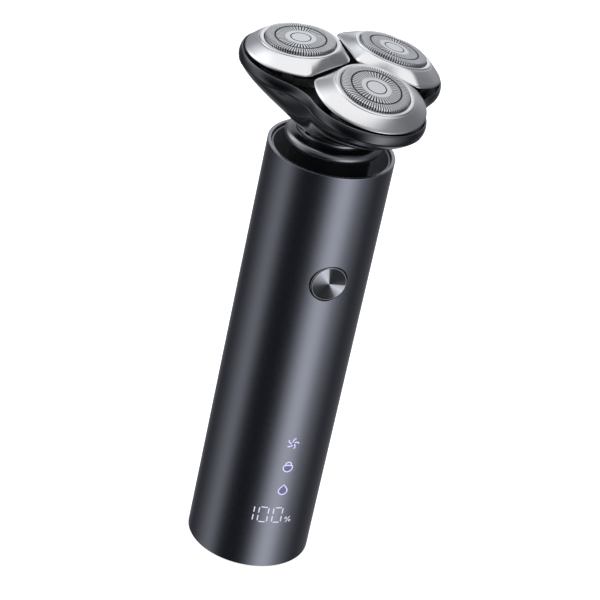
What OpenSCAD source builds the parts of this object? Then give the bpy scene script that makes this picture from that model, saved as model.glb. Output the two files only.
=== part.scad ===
// Cordless three-head rotary shaver: round metal handle with a lit display,
// a lift-off floating head and three spring-loaded cutting units.
// Origin: centre of the base's flat face. +Z runs up the handle, -Y is the front.

/* [Handle] */
// Outer diameter of the handle tube
body_d = 37; // [36.5:0.5:38]
// Height of the tube's open rim above the base
rim_z = 134; // [132:1:140]
// Wall thickness of the tube
tube_wall = 1.1; // [1:0.1:1.2]
// Chamfer on the tube's end edges
tube_bevel = 0.35; // [0.2:0.05:0.5]
// Depth of the recess round the neck, below the rim
recess_depth = 12; // [11:1:13]

/* [Button and display] */
// Height of the power button's centre
button_z = 99.8; // [96:0.1:103]
// Diameter of the power button
button_d = 10.9; // [10:0.1:11.2]
// Press travel of the button
button_travel = 0.5; // [0.3:0.1:0.5]
// Height of the middle of the lit digits
digit_z = 19.3; // [18:0.1:21]
// Height of the lit digits
digit_h = 5.6; // [5:0.1:6]
// Height of the fan icon, the highest of three
icon_z = 45.1; // [43:0.1:47]
// Spacing of the three icons
icon_pitch = 8.3; // [7:0.1:9]

/* [Head] */
// Height of the cutter-cap plane above the rim
head_rise = 29.2; // [28.5:0.1:30]
// Lean of the floating head about X, which lifts its back
head_roll = 3; // [0:0.5:4]
// Lean of the floating head about Y, which lifts its -X side
head_pitch = 4.25; // [0:0.25:4.75]
// Distance of each cutter centre from the head axis
cutter_r = 16.7; // [16.6:0.1:16.9]
// Outward lean of each cutting unit
lean = 8; // [7:1:9]
// Diameter of a cutter cap
cap_d = 20; // [19.9:0.1:20.2]
// Radius of each lobe of the black cutter frame
lobe_r = 17.2; // [17.1:0.1:17.6]
// Distance of each lobe's centre from the head axis
lobe_pitch = 15.1; // [15:0.1:15.3]
// Radius of the concave arcs between the lobes
valley_r = 14; // [12:1:16]
// Radius of the bowl at its lower end
bowl_end_r = 13.8; // [13.6:0.1:14.2]
// Clearance between meshed gear teeth
backlash = 0.14; // [0.12:0.02:0.2]

/* [Hidden] */
FRONT = 0;
RIGHT = 1;
LEFT = 2;
$fn = 96;
eps = 0.5;

body_r = body_d / 2;
tube_ir = body_r - tube_wall;
recess_z = rim_z - recess_depth;
head_z = rim_z + head_rise;
slide_gap = 0.05;
part_gap = 0.1;

// handle stack, from the base up
cap_floor_t = 2;
cap_skirt_top = 10;
seal_z = 6;
seal_r = 0.45;
boss_ring_r = 12;
screw_r = 0.95;
plate_z = 11;
plate_t = 2;
port_y = 7;
port_w = 9;
port_t = 3.3;
port_z0 = 0.6;
port_h = 7.4;
board_y = -12;
board_t = 1.2;
cell_r = 9.2;
cell_y = 4.5;
cell_z0 = 16;
cell_h = 65;
motor_z0 = 87.8;
motor_h = 28;
motor_r = 10.9;
mount_z = motor_z0 + motor_h + 0.3;
motor_screw_x = 6;
coupler_r = 2.5;
shaft_r = 1;

// head stack, measured from the cutter-cap plane
frame_top = -6.5;
frame_bottom = -9.4;
bowl_top = -9.5;
bowl_bottom = -21.1;
bowl_wall = 1.3;
rail_wall = 0.8;
bowl_bulge = 1.3;
bowl_steps = 6;
pivot_h = -18;
gimbal_pin_r = 0.8;
ear_x = 9.2;
ear_w = 4.4;
ear_top = 1.3;
gear_mod = 0.8;
sun_teeth = 18;
planet_teeth = 22;
gear_z0 = -13.5;
gear_t = 2.3;
gear_r = gear_mod * (sun_teeth + planet_teeth) / 2;
axle_r = 1;
post_r = 1.8;
post_ring_r = 12.2;
dog_half = 1.5;
spring_turns = 3.5;
spring_wire = 0.2;
spring_r = 2.35;
spring_steps = 12;
pivot_z = head_z + pivot_h;
collar_z = rim_z + 5.45;
shoulder_top = rim_z + 5.3;

// cutting unit, measured down its own axis from the cap's top
cap_r = cap_d / 2;
cap_wall = 0.6;
cap_top_t = 0.8;
lip_r = 11.55;
skirt_top = -1;
skirt_edge = -4.3;
tilt_z = -6.2;
tilt_pin_r = 0.8;
base_r = 12;
sector_r = 16.4;
sector_shift = -1.2;
unit_gap = 1.4;
apex_fillet = 4;
corner_fillet = 3.5;
skirt_t = 1;
blade_count = 12;

// lit glyphs and button
glyph_depth = 0.4;
stroke = 0.4;
digit_w = 3.2;
button_face = body_r - 0.05;
button_gap = 0.2;
flange_front = 16;

// ---- outlines -------------------------------------------------------------

function arc(c, r, a0, a1, n) =
  [for (i = [0 : n]) c + r * [cos(a0 + (a1 - a0) * i / n), sin(a0 + (a1 - a0) * i / n)]];

// upper half of a rounded 120 degree sector about a cutter centre, apex first
function half_sector(ra, g, r1, r2) =
  let (
    d = [cos(60), sin(60)],
    nn = [sin(60), -cos(60)],
    apex = [-cutter_r / cos(lean) + g / sin(60), 0],
    b = apex + r2 * nn - [sector_shift, 0],
    t = -b * d + sqrt(pow(b * d, 2) - b * b + pow(ra - r2, 2)),
    k = apex + t * d + r2 * nn,
    phi = atan2(k[1], k[0] - sector_shift),
    near = arc([apex[0] + r1 / sin(60), 0], r1, 180, 150, 5),
    far = arc(k, r2, 150, phi, 6)
  )
  concat(
    near,
    [for (i = [1 : 6]) mix(near[5], far[0], i / 7)],
    far,
    [for (i = [1 : 9]) [sector_shift, 0] + ra * [cos(phi * (1 - i / 9)), sin(phi * (1 - i / 9))]]
  );

function sector_outline(ra, g, r1, r2) =
  let (h = half_sector(ra, g, r1, r2), n = len(h))
  concat([for (i = [n - 1 : -1 : 0]) h[i]], [for (i = [1 : n - 2]) [h[i][0], -h[i][1]]]);

// three convex lobes joined by concave arcs
function trefoil_outline(r, grow) =
  let (
    vr = valley_r - grow,
    vd = lobe_pitch / 2 + sqrt(pow(lobe_pitch / 2, 2) - pow(lobe_pitch, 2) + pow(r + vr, 2)),
    v = vd * [cos(60), sin(60)],
    a = atan2(v[1], v[0] - lobe_pitch),
    valley = arc(v, vr, 180 + a, 300 - a, 7),
    third = concat(arc([lobe_pitch, 0], r, -a, a, 16), [for (i = [1 : 6]) valley[i]])
  )
  [for (k = [0 : 2]) each [for (p = third) turn(p, unit_angle(k))]];

function turn(p, a) = [p[0] * cos(a) - p[1] * sin(a), p[0] * sin(a) + p[1] * cos(a)];
function onto_circle(p, r) = r * p / norm(p);
function mix(p, q, f) = p * (1 - f) + q * f;
function unit_angle(i) = -90 + 120 * i;

// skin over rings of matching points, each ring a list of [x, y, z], lowest first
module loft(rings) {
  m = len(rings[0]);
  n = len(rings);
  polyhedron(
    points = [for (ring = rings) each ring],
    faces = concat(
      [[for (j = [0 : m - 1]) j]],
      [for (i = [0 : n - 2]) for (j = [0 : m - 1])
        each [
          [i * m + j, (i + 1) * m + j, (i + 1) * m + (j + 1) % m],
          [i * m + j, (i + 1) * m + (j + 1) % m, i * m + (j + 1) % m]
        ]],
      [[for (j = [m - 1 : -1 : 0]) (n - 1) * m + j]]
    )
  );
}

function lift_ring(pts, z) = [for (p = pts) [p[0], p[1], z]];

// ---- placing --------------------------------------------------------------

// the head leans on its float: the gimbal turns by the roll, the head by roll and pitch
module gimbal_turn() {
  translate([0, 0, pivot_z]) rotate([head_roll, 0, 0]) translate([0, 0, -pivot_z]) children();
}

module on_head() {
  gimbal_turn() translate([0, 0, pivot_z]) rotate([0, head_pitch, 0])
    translate([0, 0, -pivot_h]) children();
}

module unit_place(i) {
  rotate([0, 0, unit_angle(i)]) translate([cutter_r, 0, 0]) rotate([0, lean, 0]) children();
}

module at_unit(i) {
  on_head() unit_place(i) children();
}

module at_gear(i) {
  on_head() rotate([0, 0, unit_angle(i)]) translate([gear_r, 0, 0]) children();
}

module thirds(r, start = -90) {
  for (k = [0 : 2]) rotate([0, 0, start + 120 * k]) translate([r, 0, 0]) children();
}

module ring(r_out, r_in, z0, h) {
  translate([0, 0, z0]) difference() {
    cylinder(r = r_out, h = h);
    translate([0, 0, -eps]) cylinder(r = r_in, h = h + 2 * eps);
  }
}

module disc(r, z0, h) {
  translate([0, 0, z0]) cylinder(r = r, h = h);
}

module block(size, z0) {
  translate([-size[0] / 2, -size[1] / 2, z0]) cube(size);
}

// round bar about the button's axis, from y_back forward to y_front
module button_bar(r, y_front, y_back) {
  translate([0, y_back, button_z]) rotate([90, 0, 0]) cylinder(r = r, h = y_back - y_front);
}

// ---- handle ---------------------------------------------------------------

module body_tube() color([0.2, 0.2, 0.22]) difference() {
  rotate_extrude() polygon([
    [tube_ir, 0.3], [body_r - tube_bevel, 0.3], [body_r, 0.3 + tube_bevel], [body_r, rim_z - tube_bevel],
    [body_r - tube_bevel, rim_z], [tube_ir + tube_bevel, rim_z], [tube_ir, rim_z - tube_bevel]
  ]);
  button_bar(button_d / 2 + button_gap, -body_r - eps, board_y);
  glyph_solids(glyph_depth, 0.03);
}

module base_cap() color([0.1, 0.1, 0.11]) difference() {
  union() {
    rotate_extrude() polygon([
      [0, 0], [tube_ir - 0.5, 0], [tube_ir - part_gap, 0.4], [tube_ir - part_gap, cap_skirt_top],
      [tube_ir - 2, cap_skirt_top], [tube_ir - 2, cap_floor_t], [0, cap_floor_t]
    ]);
    translate([0, port_y, 0]) block([port_w + 3, port_t + 3, 6], 0);
  }
  ring(tube_ir + 1, tube_ir - 2 * seal_r - 0.05, seal_z - 0.6, 1.2);
  translate([0, port_y, 0]) block([port_w + 0.1, port_t + 0.1, port_h + 2], -1);
  thirds(boss_ring_r) {
    disc(screw_r + 0.15, -1, 4);
    disc(2.1, -1, 2.2);
  }
}

module base_seal() color([0.05, 0.05, 0.05]) rotate_extrude()
  translate([tube_ir - seal_r - 0.02, seal_z]) circle(r = seal_r, $fn = 24);

module base_screws() color("silver") thirds(boss_ring_r) difference() {
  union() {
    disc(1.9, 0.4, 0.75);
    disc(screw_r, 0.8, 8.2);
  }
  translate([0, 0, 0.3]) cylinder(r = 0.75, h = 0.5, $fn = 6);
}

module charge_port_shell() color("silver") translate([0, port_y, port_z0]) difference() {
  block([port_w, port_t, port_h], 0);
  block([port_w - 0.6, port_t - 0.6, port_h], -0.6);
}

module charge_port_tongue() color([0.1, 0.1, 0.1]) translate([0, port_y, port_z0])
  block([port_w - 2, 0.7, port_h - 1.6], 0.8);

module chassis() color([0.3, 0.3, 0.32]) difference() {
  union() {
    disc(tube_ir - 0.3, plate_z, plate_t);
    disc(tube_ir - 0.3, cell_z0 + cell_h + 2, plate_t);
    rotate([0, 0, 15]) rotate_extrude(angle = 150)
      translate([tube_ir - 2.2, plate_z + plate_t - 1]) square([1.6, mount_z - plate_z - plate_t + 0.9]);
    for (z = [motor_z0 + 4, motor_z0 + 20]) ring(motor_r + 2, motor_r + part_gap, z, 4);
    translate([0, motor_r + 2.9, 0]) block([8, 3.6, 24.4], motor_z0 + 2);
    thirds(boss_ring_r) disc(2.4, cap_floor_t + 0.2, plate_z - cap_floor_t);
  }
  thirds(boss_ring_r) disc(screw_r + slide_gap, cap_floor_t - eps, 8);
  translate([0, board_y - 10 + 0.2, 0]) block([60, 20, 140], 0);
  disc(motor_r + part_gap, cell_z0 + cell_h + 2 + plate_t, 40);
}

module battery() color([0.2, 0.45, 0.7]) translate([0, cell_y, cell_z0]) union() {
  cylinder(r = cell_r, h = cell_h - 1);
  cylinder(r = 2.8, h = cell_h);
}

module battery_contacts() color("gold") {
  for (z = [cell_z0 - 0.5, cell_z0 + cell_h + 0.2]) translate([0, -3.2, z]) {
    translate([-3, 0, 0]) cube([6, cell_y + 6, 0.3]);
    translate([-1.5, board_y + 3.4, 0]) cube([3, 9, 0.3]);
  }
}

module circuit_board() color([0.05, 0.35, 0.2]) translate([0, board_y - board_t / 2, 0])
  block([20, board_t, 98], 14);

module display_module() color([0.15, 0.15, 0.16]) intersection() {
  disc(tube_ir - 0.3, 13, 36);
  translate([-1, board_y - board_t - 3 - 0.1, 0]) block([19, 6, 40], 13);
}

// ---- lit glyphs, engraved pockets in the tube filled with resin -------------

// a bar on the handle's face, w across and h up, centred at an angle round from the front
module face_bar(angle, z, w, h, spin = 0) {
  rotate([0, 0, angle]) translate([0, -body_r, z]) rotate([0, spin, 0]) cube([w, 3, h], center = true);
}

module face_ring(z, r_out, r_in) {
  translate([0, -body_r + 1.5, z]) rotate([90, 0, 0]) difference() {
    cylinder(r = r_out, h = 3, $fn = 32);
    translate([0, 0, -eps]) cylinder(r = r_in, h = 4, $fn = 32);
  }
}

module upright(angle, side, grow) {
  reach = asin((digit_w - stroke) / 2 / body_r);
  for (s = [-1, 1]) face_bar(angle + side * reach, digit_z + s * digit_h / 4,
    stroke + 2 * grow, digit_h / 2 - stroke - 0.4 + 2 * grow);
}

module zero(angle, grow) {
  for (side = [-1, 1]) upright(angle, side, grow);
  for (s = [-1, 1]) face_bar(angle, digit_z + s * (digit_h - stroke) / 2,
    digit_w - 2 * stroke - 0.3 + 2 * grow, stroke + 2 * grow);
}

module percent(angle, grow) {
  z = digit_z - digit_h / 2 + 0.9;
  face_bar(angle, z, 0.3 + 2 * grow, 2.4 + 2 * grow, 30);
  for (s = [-1, 1]) face_bar(angle - s * 2.6, z + s * 0.65, 0.6 + 2 * grow, 0.8 + 2 * grow);
}

module fan_icon(z, grow) {
  for (k = [0 : 4]) translate([0, -body_r, z]) rotate([0, 72 * k, 0])
    translate([0.45, 0, 1.15]) cube([0.4 + 2 * grow, 3, 1.3 + 2 * grow], center = true);
}

module lock_icon(z, grow) {
  face_ring(z - 0.4, 1.45 + grow, 1.1 - grow);
  face_bar(0, z + 1.55, 1.5 + 2 * grow, 0.35 + 2 * grow);
}

module drop_icon(z, grow) {
  face_ring(z - 0.3, 1.5 + grow, 1.15 - grow);
  for (s = [-1, 1]) face_bar(s * 1.1, z + 1.5, 0.35 + 2 * grow, 0.9 + 2 * grow, -s * 30);
}

module glyph_solids(depth, grow) {
  intersection() {
    ring(body_r + (grow > 0 ? 1 : -0.02), body_r - depth, 10, 45);
    union() {
      upright(-22.6, 0, grow);
      zero(-13.6, grow);
      zero(0, grow);
      percent(11.7, grow);
      fan_icon(icon_z, grow);
      lock_icon(icon_z - icon_pitch, grow);
      drop_icon(icon_z - 2 * icon_pitch, grow);
    }
  }
}

module display_glyphs() color([0.85, 0.85, 1]) glyph_solids(glyph_depth - 0.03, 0);

// ---- button ---------------------------------------------------------------

module button_guide() color([0.06, 0.06, 0.06]) intersection() {
  difference() {
    button_bar(7.4, -body_r, board_y - board_t - 0.15);
    button_bar(button_d / 2 + 1, -body_r - eps, board_y);
  }
  disc(tube_ir - 0.15, button_z - 10, 20);
}

module power_button() color([0.45, 0.45, 0.48])
  translate([0, 0, button_z]) rotate([90, 0, 0]) rotate_extrude() polygon([
    [0, flange_front - 0.6], [button_d / 2 + 0.85, flange_front - 0.6], [button_d / 2 + 0.85, flange_front],
    [button_d / 2, flange_front], [button_d / 2, button_face - 0.35], [button_d / 2 - 0.35, button_face],
    [0, button_face]
  ]);

module switch_body() color([0.1, 0.1, 0.1]) difference() {
  translate([0, board_y - board_t - 0.8, button_z]) cube([6, 1.5, 6], center = true);
  button_bar(1.3, -body_r, board_y - board_t - 0.1);
}

module switch_plunger() color([0.75, 0.1, 0.1])
  button_bar(1.2, -flange_front + 0.65, board_y - board_t - 0.1 - button_travel - 0.15);

// ---- motor and drive --------------------------------------------------------

module motor_can() color("silver") translate([0, 0, motor_z0]) difference() {
  union() {
    cylinder(r = motor_r, h = motor_h);
    cylinder(r = 3, h = motor_h + 1.6);
  }
  translate([0, 0, 1.5]) cylinder(r = motor_r - 1, h = motor_h - 3.5);
  cylinder(r = shaft_r + slide_gap, h = motor_h + 3);
  for (s = [-1, 1]) translate([motor_screw_x * s, 0, motor_h - 3]) cylinder(r = 0.95, h = 4);
}

module motor_rotor() color([0.7, 0.45, 0.25]) union() {
  disc(motor_r - 2.2, motor_z0 + 3.5, motor_h - 8);
  disc(shaft_r, motor_z0 + 0.5, mount_z + 8 - motor_z0);
}

module motor_mount() color([0.6, 0.6, 0.62]) difference() {
  disc(tube_ir - 0.3, mount_z, 2);
  disc(3.2, mount_z - eps, 3);
  for (s = [-1, 1]) translate([motor_screw_x * s, 0, 0]) disc(1.05, mount_z - eps, 3);
  translate([0, board_y - 10, 0]) block([60, 20, 4], mount_z - 1);
}

module motor_screws() color("silver") for (s = [-1, 1]) translate([motor_screw_x * s, 0, 0]) difference() {
  union() {
    disc(0.9, mount_z - 2.2, 4.3);
    disc(1.8, mount_z + 2.05, 1);
  }
  block([2.4, 0.5, 1], mount_z + 2.6);
}

module recess_cup() color([0.16, 0.16, 0.17]) rotate_extrude() polygon([
  [11.9, recess_z - 1.4], [tube_ir - part_gap, recess_z - 1.4], [tube_ir - part_gap, rim_z - 0.7],
  [tube_ir - 0.8, rim_z - 0.7], [tube_ir - 0.8, recess_z], [11.9, recess_z]
]);

module neck_column() color([0.05, 0.05, 0.06]) rotate_extrude() polygon([
  [9.7, recess_z - 2.4], [14, recess_z - 2.4], [14, recess_z - 1.6], [11.7, recess_z - 1.6],
  [11.7, rim_z + 0.8], [11.3, rim_z + 1.2], [5, rim_z + 1.2], [5, rim_z - 1.5], [9.7, rim_z - 1.5]
]);

module neck_shoulder() color([0.05, 0.05, 0.06]) rotate_extrude() polygon(concat(
  [[8.1, rim_z + 1.3], [12.4, rim_z + 1.3]],
  arc([12.4, rim_z + 3.1], 1.8, -80, 60, 10),
  [[11.4, shoulder_top - 0.2], [10.6, shoulder_top], [8.1, shoulder_top]]
));

module shaft_bush() color([0.7, 0.5, 0.3]) ring(5 - 0.02, coupler_r + slide_gap, rim_z - 2.5, 3.6);

module shaft_seal() color([0.05, 0.05, 0.05]) ring(6, coupler_r + slide_gap, rim_z + 1.3, 1.2);

module drive_coupler() color([0.85, 0.85, 0.82]) difference() {
  union() {
    disc(coupler_r, mount_z + 3.2, pivot_z - 3.4 - mount_z - 3);
    disc(4.2, pivot_z - 3.4, 4.4);
  }
  disc(shaft_r + 0.02, mount_z, 9);
  block([2 * dog_half + 1.2, 2 * dog_half + 1.2, 6], pivot_z - 1.6);
}

// ---- head: collar, gimbal, bowl, gears ----------------------------------------

module pivot_bar(axis, r, from, to) {
  for (s = [0, 180]) translate([0, 0, pivot_z]) rotate([0, 0, s + (axis == "y" ? 90 : 0)])
    translate([from, 0, 0]) rotate([0, 90, 0]) cylinder(r = r, h = to - from);
}

module head_collar() color([0.12, 0.12, 0.13]) difference() {
  union() {
    rotate_extrude() polygon([
      [6.4, rim_z + 2.7], [8.05, rim_z + 2.7], [8.05, collar_z], [11.1, collar_z],
      [11.4, collar_z + 0.3], [11.4, collar_z + 0.6], [11.1, collar_z + 0.9], [6.4, collar_z + 0.9]
    ]);
    for (s = [-1, 1]) translate([s * ear_x, 0, 0])
      block([1.8, ear_w, pivot_z + ear_top - collar_z - 0.5], collar_z + 0.5);
  }
  pivot_bar("x", gimbal_pin_r + slide_gap, 8, 11);
}

module gimbal_ring() color("silver") gimbal_turn() difference() {
  ring(8, 6.2, pivot_z - 1, 2);
  pivot_bar("x", gimbal_pin_r + 0.02, 5, 9);
  pivot_bar("y", gimbal_pin_r + 0.02, 5, 9);
}

module gimbal_pins() color([0.6, 0.6, 0.6]) gimbal_turn() {
  pivot_bar("x", gimbal_pin_r, 6.4, 10);
  pivot_bar("y", gimbal_pin_r, 6.4, 10);
}

// outline of the bowl at a fraction f of the way down, pulled in by the wall
function bowl_ring(f, z, inset) =
  let (b = pow(f, bowl_bulge))
  lift_ring([for (p = trefoil_outline(lobe_r - 0.3, 0))
    mix(p, onto_circle(p, bowl_end_r), b) - onto_circle(p, inset)], z);

module head_bowl() color([0.04, 0.04, 0.05]) on_head() difference() {
  union() {
    difference() {
      loft([for (i = [bowl_steps : -1 : 0])
        bowl_ring(i / bowl_steps, mix(bowl_top, bowl_bottom, i / bowl_steps), 0)]);
      loft([for (i = [bowl_steps - 1 : -1 : 0])
        bowl_ring(i / bowl_steps, mix(bowl_top, bowl_bottom, i / bowl_steps) + (i == 0 ? 0.1 : 0.4),
          bowl_wall)]);
      disc(11.2, bowl_bottom - 1, 5);
    }
    for (s = [-1, 1]) translate([0, s * 10.5, 0])
      block([ear_w, 4.4, pivot_h + ear_top - bowl_bottom - 1], bowl_bottom + 1);
    thirds(post_ring_r, -30) disc(1.6, bowl_bottom + 1, -15.2 - bowl_bottom - 1);
  }
  translate([0, 0, -head_z]) pivot_bar("y", gimbal_pin_r + slide_gap, 8, 10.4);
  thirds(post_ring_r, -30) disc(0.75, -18.4, 5);
}

module plate_shape(arm_r) {
  circle(r = 12);
  thirds(gear_r) circle(r = arm_r);
  thirds(post_ring_r, -30) circle(r = 2);
  for (k = [0 : 2]) rotate([0, 0, unit_angle(k)]) translate([0, -arm_r]) square([gear_r, 2 * arm_r]);
}

module gear_plate() color([0.75, 0.75, 0.7]) on_head() difference() {
  translate([0, 0, -15]) linear_extrude(1) plate_shape(3);
  disc(dog_half + slide_gap, -16, 3);
  thirds(gear_r) disc(axle_r + 0.02, -16, 3);
  thirds(post_ring_r, -30) disc(0.9, -16, 3);
}

module gear_axles() color("silver") for (i = [FRONT : LEFT]) at_gear(i) disc(axle_r, -15, 8.4);

module gear_cover() color([0.75, 0.75, 0.7]) on_head() difference() {
  union() {
    translate([0, 0, -10.7]) linear_extrude(1) plate_shape(4.2);
    thirds(post_ring_r, -30) disc(1.8, -13.9, 3.4);
  }
  disc(dog_half + slide_gap, -12, 3);
  thirds(gear_r) disc(3, -12, 3);
  thirds(post_ring_r, -30) {
    disc(0.9, -15, 6);
    disc(1.55, -10.3, 2);
  }
}

module gear_screws() color("silver") on_head() thirds(post_ring_r, -30) difference() {
  union() {
    disc(0.7, -18.2, 8);
    disc(1.4, -10.25, 0.5);
  }
  block([2, 0.4, 1], -9.95);
}

// involute gear outline with a tooth centred on +X
function inv_deg(rb, r) = let (a = acos(min(1, rb / r))) tan(a) * 180 / PI - a;

function gear_outline(teeth) =
  let (
    rp = gear_mod * teeth / 2,
    rb = rp * cos(20),
    rt = rp + gear_mod * 0.95,
    rr = rp - gear_mod * 1.2,
    half = 90 / teeth - backlash / rp * 45 / PI,
    lo = max(rb, rr + 0.01),
    flank = [for (i = [0 : 4]) let (r = lo + (rt - lo) * i / 4)
      [r, half + inv_deg(rb, rp) - inv_deg(rb, r)]]
  )
  [for (k = [0 : teeth - 1]) each
    [for (q = concat(
      [[rr, -flank[0][1] - 1]],
      [for (i = [0 : 4]) [flank[i][0], -flank[i][1]]],
      [for (i = [4 : -1 : 0]) flank[i]],
      [[rr, flank[0][1] + 1]]
    )) q[0] * [cos(q[1] + 360 * k / teeth), sin(q[1] + 360 * k / teeth)]]];

module centre_gear() color([0.9, 0.9, 0.85]) on_head() translate([0, 0, gear_z0]) difference() {
  linear_extrude(gear_t) polygon(gear_outline(sun_teeth));
  translate([0, 0, -eps]) cylinder(r = dog_half + 0.02, h = gear_t + 1);
}

module centre_spindle() color("silver") on_head() union() {
  disc(dog_half, pivot_h + 1, -9.8 - pivot_h - 1);
  block([2 * dog_half, 2 * dog_half, 2.2], pivot_h - 1.1);
}

module cutter_gear(i) color([0.9, 0.9, 0.85]) at_gear(i) translate([0, 0, gear_z0]) difference() {
  rotate([0, 0, 180]) linear_extrude(gear_t) polygon(gear_outline(planet_teeth));
  translate([0, 0, -eps]) cylinder(r = axle_r + slide_gap, h = gear_t + 1);
}

module drive_post(i) color([0.2, 0.4, 0.7]) at_gear(i) difference() {
  union() {
    disc(post_r, gear_z0 + gear_t + part_gap / 2, 4);
    block([2 * dog_half, 2 * dog_half, 2.2], -7.2);
  }
  disc(axle_r + slide_gap, gear_z0, 6.95);
}

// coil spring as a swept tube of six sides
module post_spring(i) color("silver") at_gear(i) {
  n = spring_turns * spring_steps;
  z0 = gear_z0 + gear_t + 0.35;
  rise = 3.6;
  loft([for (k = [0 : n]) let (a = 360 * k / spring_steps)
    [for (j = [5 : -1 : 0]) let (w = spring_wire * cos(60 * j))
      [(spring_r + w) * cos(a), (spring_r + w) * sin(a), z0 + rise * k / n + spring_wire * sin(60 * j)]]]);
}

// ---- cutter frame -----------------------------------------------------------

module cutter_frame() color([0.04, 0.04, 0.05]) on_head() difference() {
  union() {
    translate([0, 0, frame_bottom]) linear_extrude(frame_top - frame_bottom) difference() {
      polygon(trefoil_outline(lobe_r, 0));
      polygon(trefoil_outline(lobe_r - rail_wall, -rail_wall));
    }
    difference() {
      translate([0, 0, frame_bottom]) linear_extrude(1) polygon(trefoil_outline(lobe_r - 0.5, -0.5));
      for (i = [FRONT : LEFT]) rotate([0, 0, unit_angle(i)])
        translate([cutter_r - 7 * tan(lean), 0, 0]) disc(base_r + 0.6, frame_bottom - 1, 3);
    }
    for (i = [FRONT : LEFT]) rotate([0, 0, unit_angle(i)]) for (s = [-1, 1])
      translate([cutter_r + tilt_z * sin(lean), s * 13.6, 0]) block([3.4, 1.8, 4.3], frame_bottom);
  }
  for (i = [FRONT : LEFT]) unit_place(i) tilt_bar(tilt_pin_r + slide_gap, 12, 15);
}

module tilt_bar(r, from, to) {
  for (s = [-1, 1]) translate([0, s * from, tilt_z]) rotate([-90 * s, 0, 0]) cylinder(r = r, h = to - from);
}

// ---- cutting units ------------------------------------------------------------

function skirt_ring(z, f, inset) =
  lift_ring([for (p = sector_outline(sector_r - inset, unit_gap + inset, apex_fillet - inset,
    corner_fillet - inset)) mix(onto_circle(p, lip_r - inset * 0.4), p, f)], z);

module unit_cover(i) color([0.8, 0.8, 0.82]) at_unit(i) difference() {
  union() {
    difference() {
      loft([skirt_ring(skirt_edge - 0.1, 0.985, 0), skirt_ring(skirt_edge + 0.35, 1, 0),
        skirt_ring(skirt_top - 1, 0.35, 0), skirt_ring(skirt_top, 0, 0)]);
      loft([skirt_ring(skirt_edge - 0.6, 1, 0.8), skirt_ring(skirt_edge - 0.3, 1, 0.8),
        skirt_ring(skirt_top - 1 - skirt_t, 0.35, 0.8), skirt_ring(skirt_top - skirt_t, 0, 0.8)]);
    }
    ring(lip_r - 0.35, cap_r + 0.25, -2.8, 2);
  }
  disc(cap_r + 0.25, -6, 8);
}

module unit_base(i) color([0.1, 0.1, 0.11]) at_unit(i) union() {
  ring(base_r - 0.5, cap_r + 0.95, -7.2, 4.3);
  ring(base_r, cap_r + 0.95, -7.2, 3);
  ring(base_r - 0.5, cap_r - 0.15, -5.4, 0.7);
  tilt_bar(tilt_pin_r, base_r - 0.4, 14.3);
}

module cutter_cap(i) color([0.75, 0.75, 0.77]) at_unit(i) rotate_extrude() polygon([
  [0, -cap_top_t], [0, 0], [2.68, 0], [2.76, -0.15], [2.94, -0.15], [3.02, 0], [7.02, 0], [7.1, -0.2],
  [7.36, -0.2], [7.44, 0], [cap_r - 0.3, 0], [cap_r, -0.3], [cap_r, -3],
  [cap_r + 0.7, -3], [cap_r + 0.7, -3.6], [cap_r - cap_wall, -3.6], [cap_r - cap_wall, -cap_top_t]
]);

module inner_cutter(i) color([0.65, 0.65, 0.68]) at_unit(i) {
  disc_top = -2.4;
  tip = -cap_top_t - 0.15;
  difference() {
    union() {
      disc(9, disc_top - 0.5, 0.5);
      disc(4, tilt_z, disc_top - tilt_z - 0.2);
      for (k = [0 : blade_count - 1]) rotate([0, 0, 360 * k / blade_count])
        translate([5, -0.35, disc_top - 0.2]) cube([4, 0.7, tip - disc_top + 0.2]);
    }
    block([4.2, 4.2, 3], tilt_z - eps);
  }
}

// ---- output --------------------------------------------------------------------

body_tube();
base_cap();
base_seal();
base_screws();
charge_port_shell();
charge_port_tongue();
chassis();
battery();
battery_contacts();
circuit_board();
display_module();
display_glyphs();
button_guide();
power_button();
switch_body();
switch_plunger();
motor_can();
motor_rotor();
motor_mount();
motor_screws();
recess_cup();
neck_column();
neck_shoulder();
shaft_bush();
shaft_seal();
drive_coupler();
head_collar();
gimbal_ring();
gimbal_pins();
head_bowl();
gear_plate();
gear_axles();
gear_cover();
gear_screws();
centre_gear();
centre_spindle();
cutter_gear(FRONT);  // cutter_gear_front
cutter_gear(RIGHT);  // cutter_gear_right
cutter_gear(LEFT);  // cutter_gear_left
drive_post(FRONT);  // drive_post_front
drive_post(RIGHT);  // drive_post_right
drive_post(LEFT);  // drive_post_left
post_spring(FRONT);  // post_spring_front
post_spring(RIGHT);  // post_spring_right
post_spring(LEFT);  // post_spring_left
cutter_frame();
unit_cover(FRONT);  // unit_cover_front
unit_cover(RIGHT);  // unit_cover_right
unit_cover(LEFT);  // unit_cover_left
unit_base(FRONT);  // unit_base_front
unit_base(RIGHT);  // unit_base_right
unit_base(LEFT);  // unit_base_left
cutter_cap(FRONT);  // cutter_cap_front
cutter_cap(RIGHT);  // cutter_cap_right
cutter_cap(LEFT);  // cutter_cap_left
inner_cutter(FRONT);  // inner_cutter_front
inner_cutter(RIGHT);  // inner_cutter_right
inner_cutter(LEFT);  // inner_cutter_left
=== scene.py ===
"""Looks of the cordless three-head rotary shaver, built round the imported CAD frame.

Sizes below are millimetres in the CAD frame: +Z runs up the handle, -Y is the front.
"""

import math

import bmesh
import bpy
from mathutils import Matrix, Vector


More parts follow.
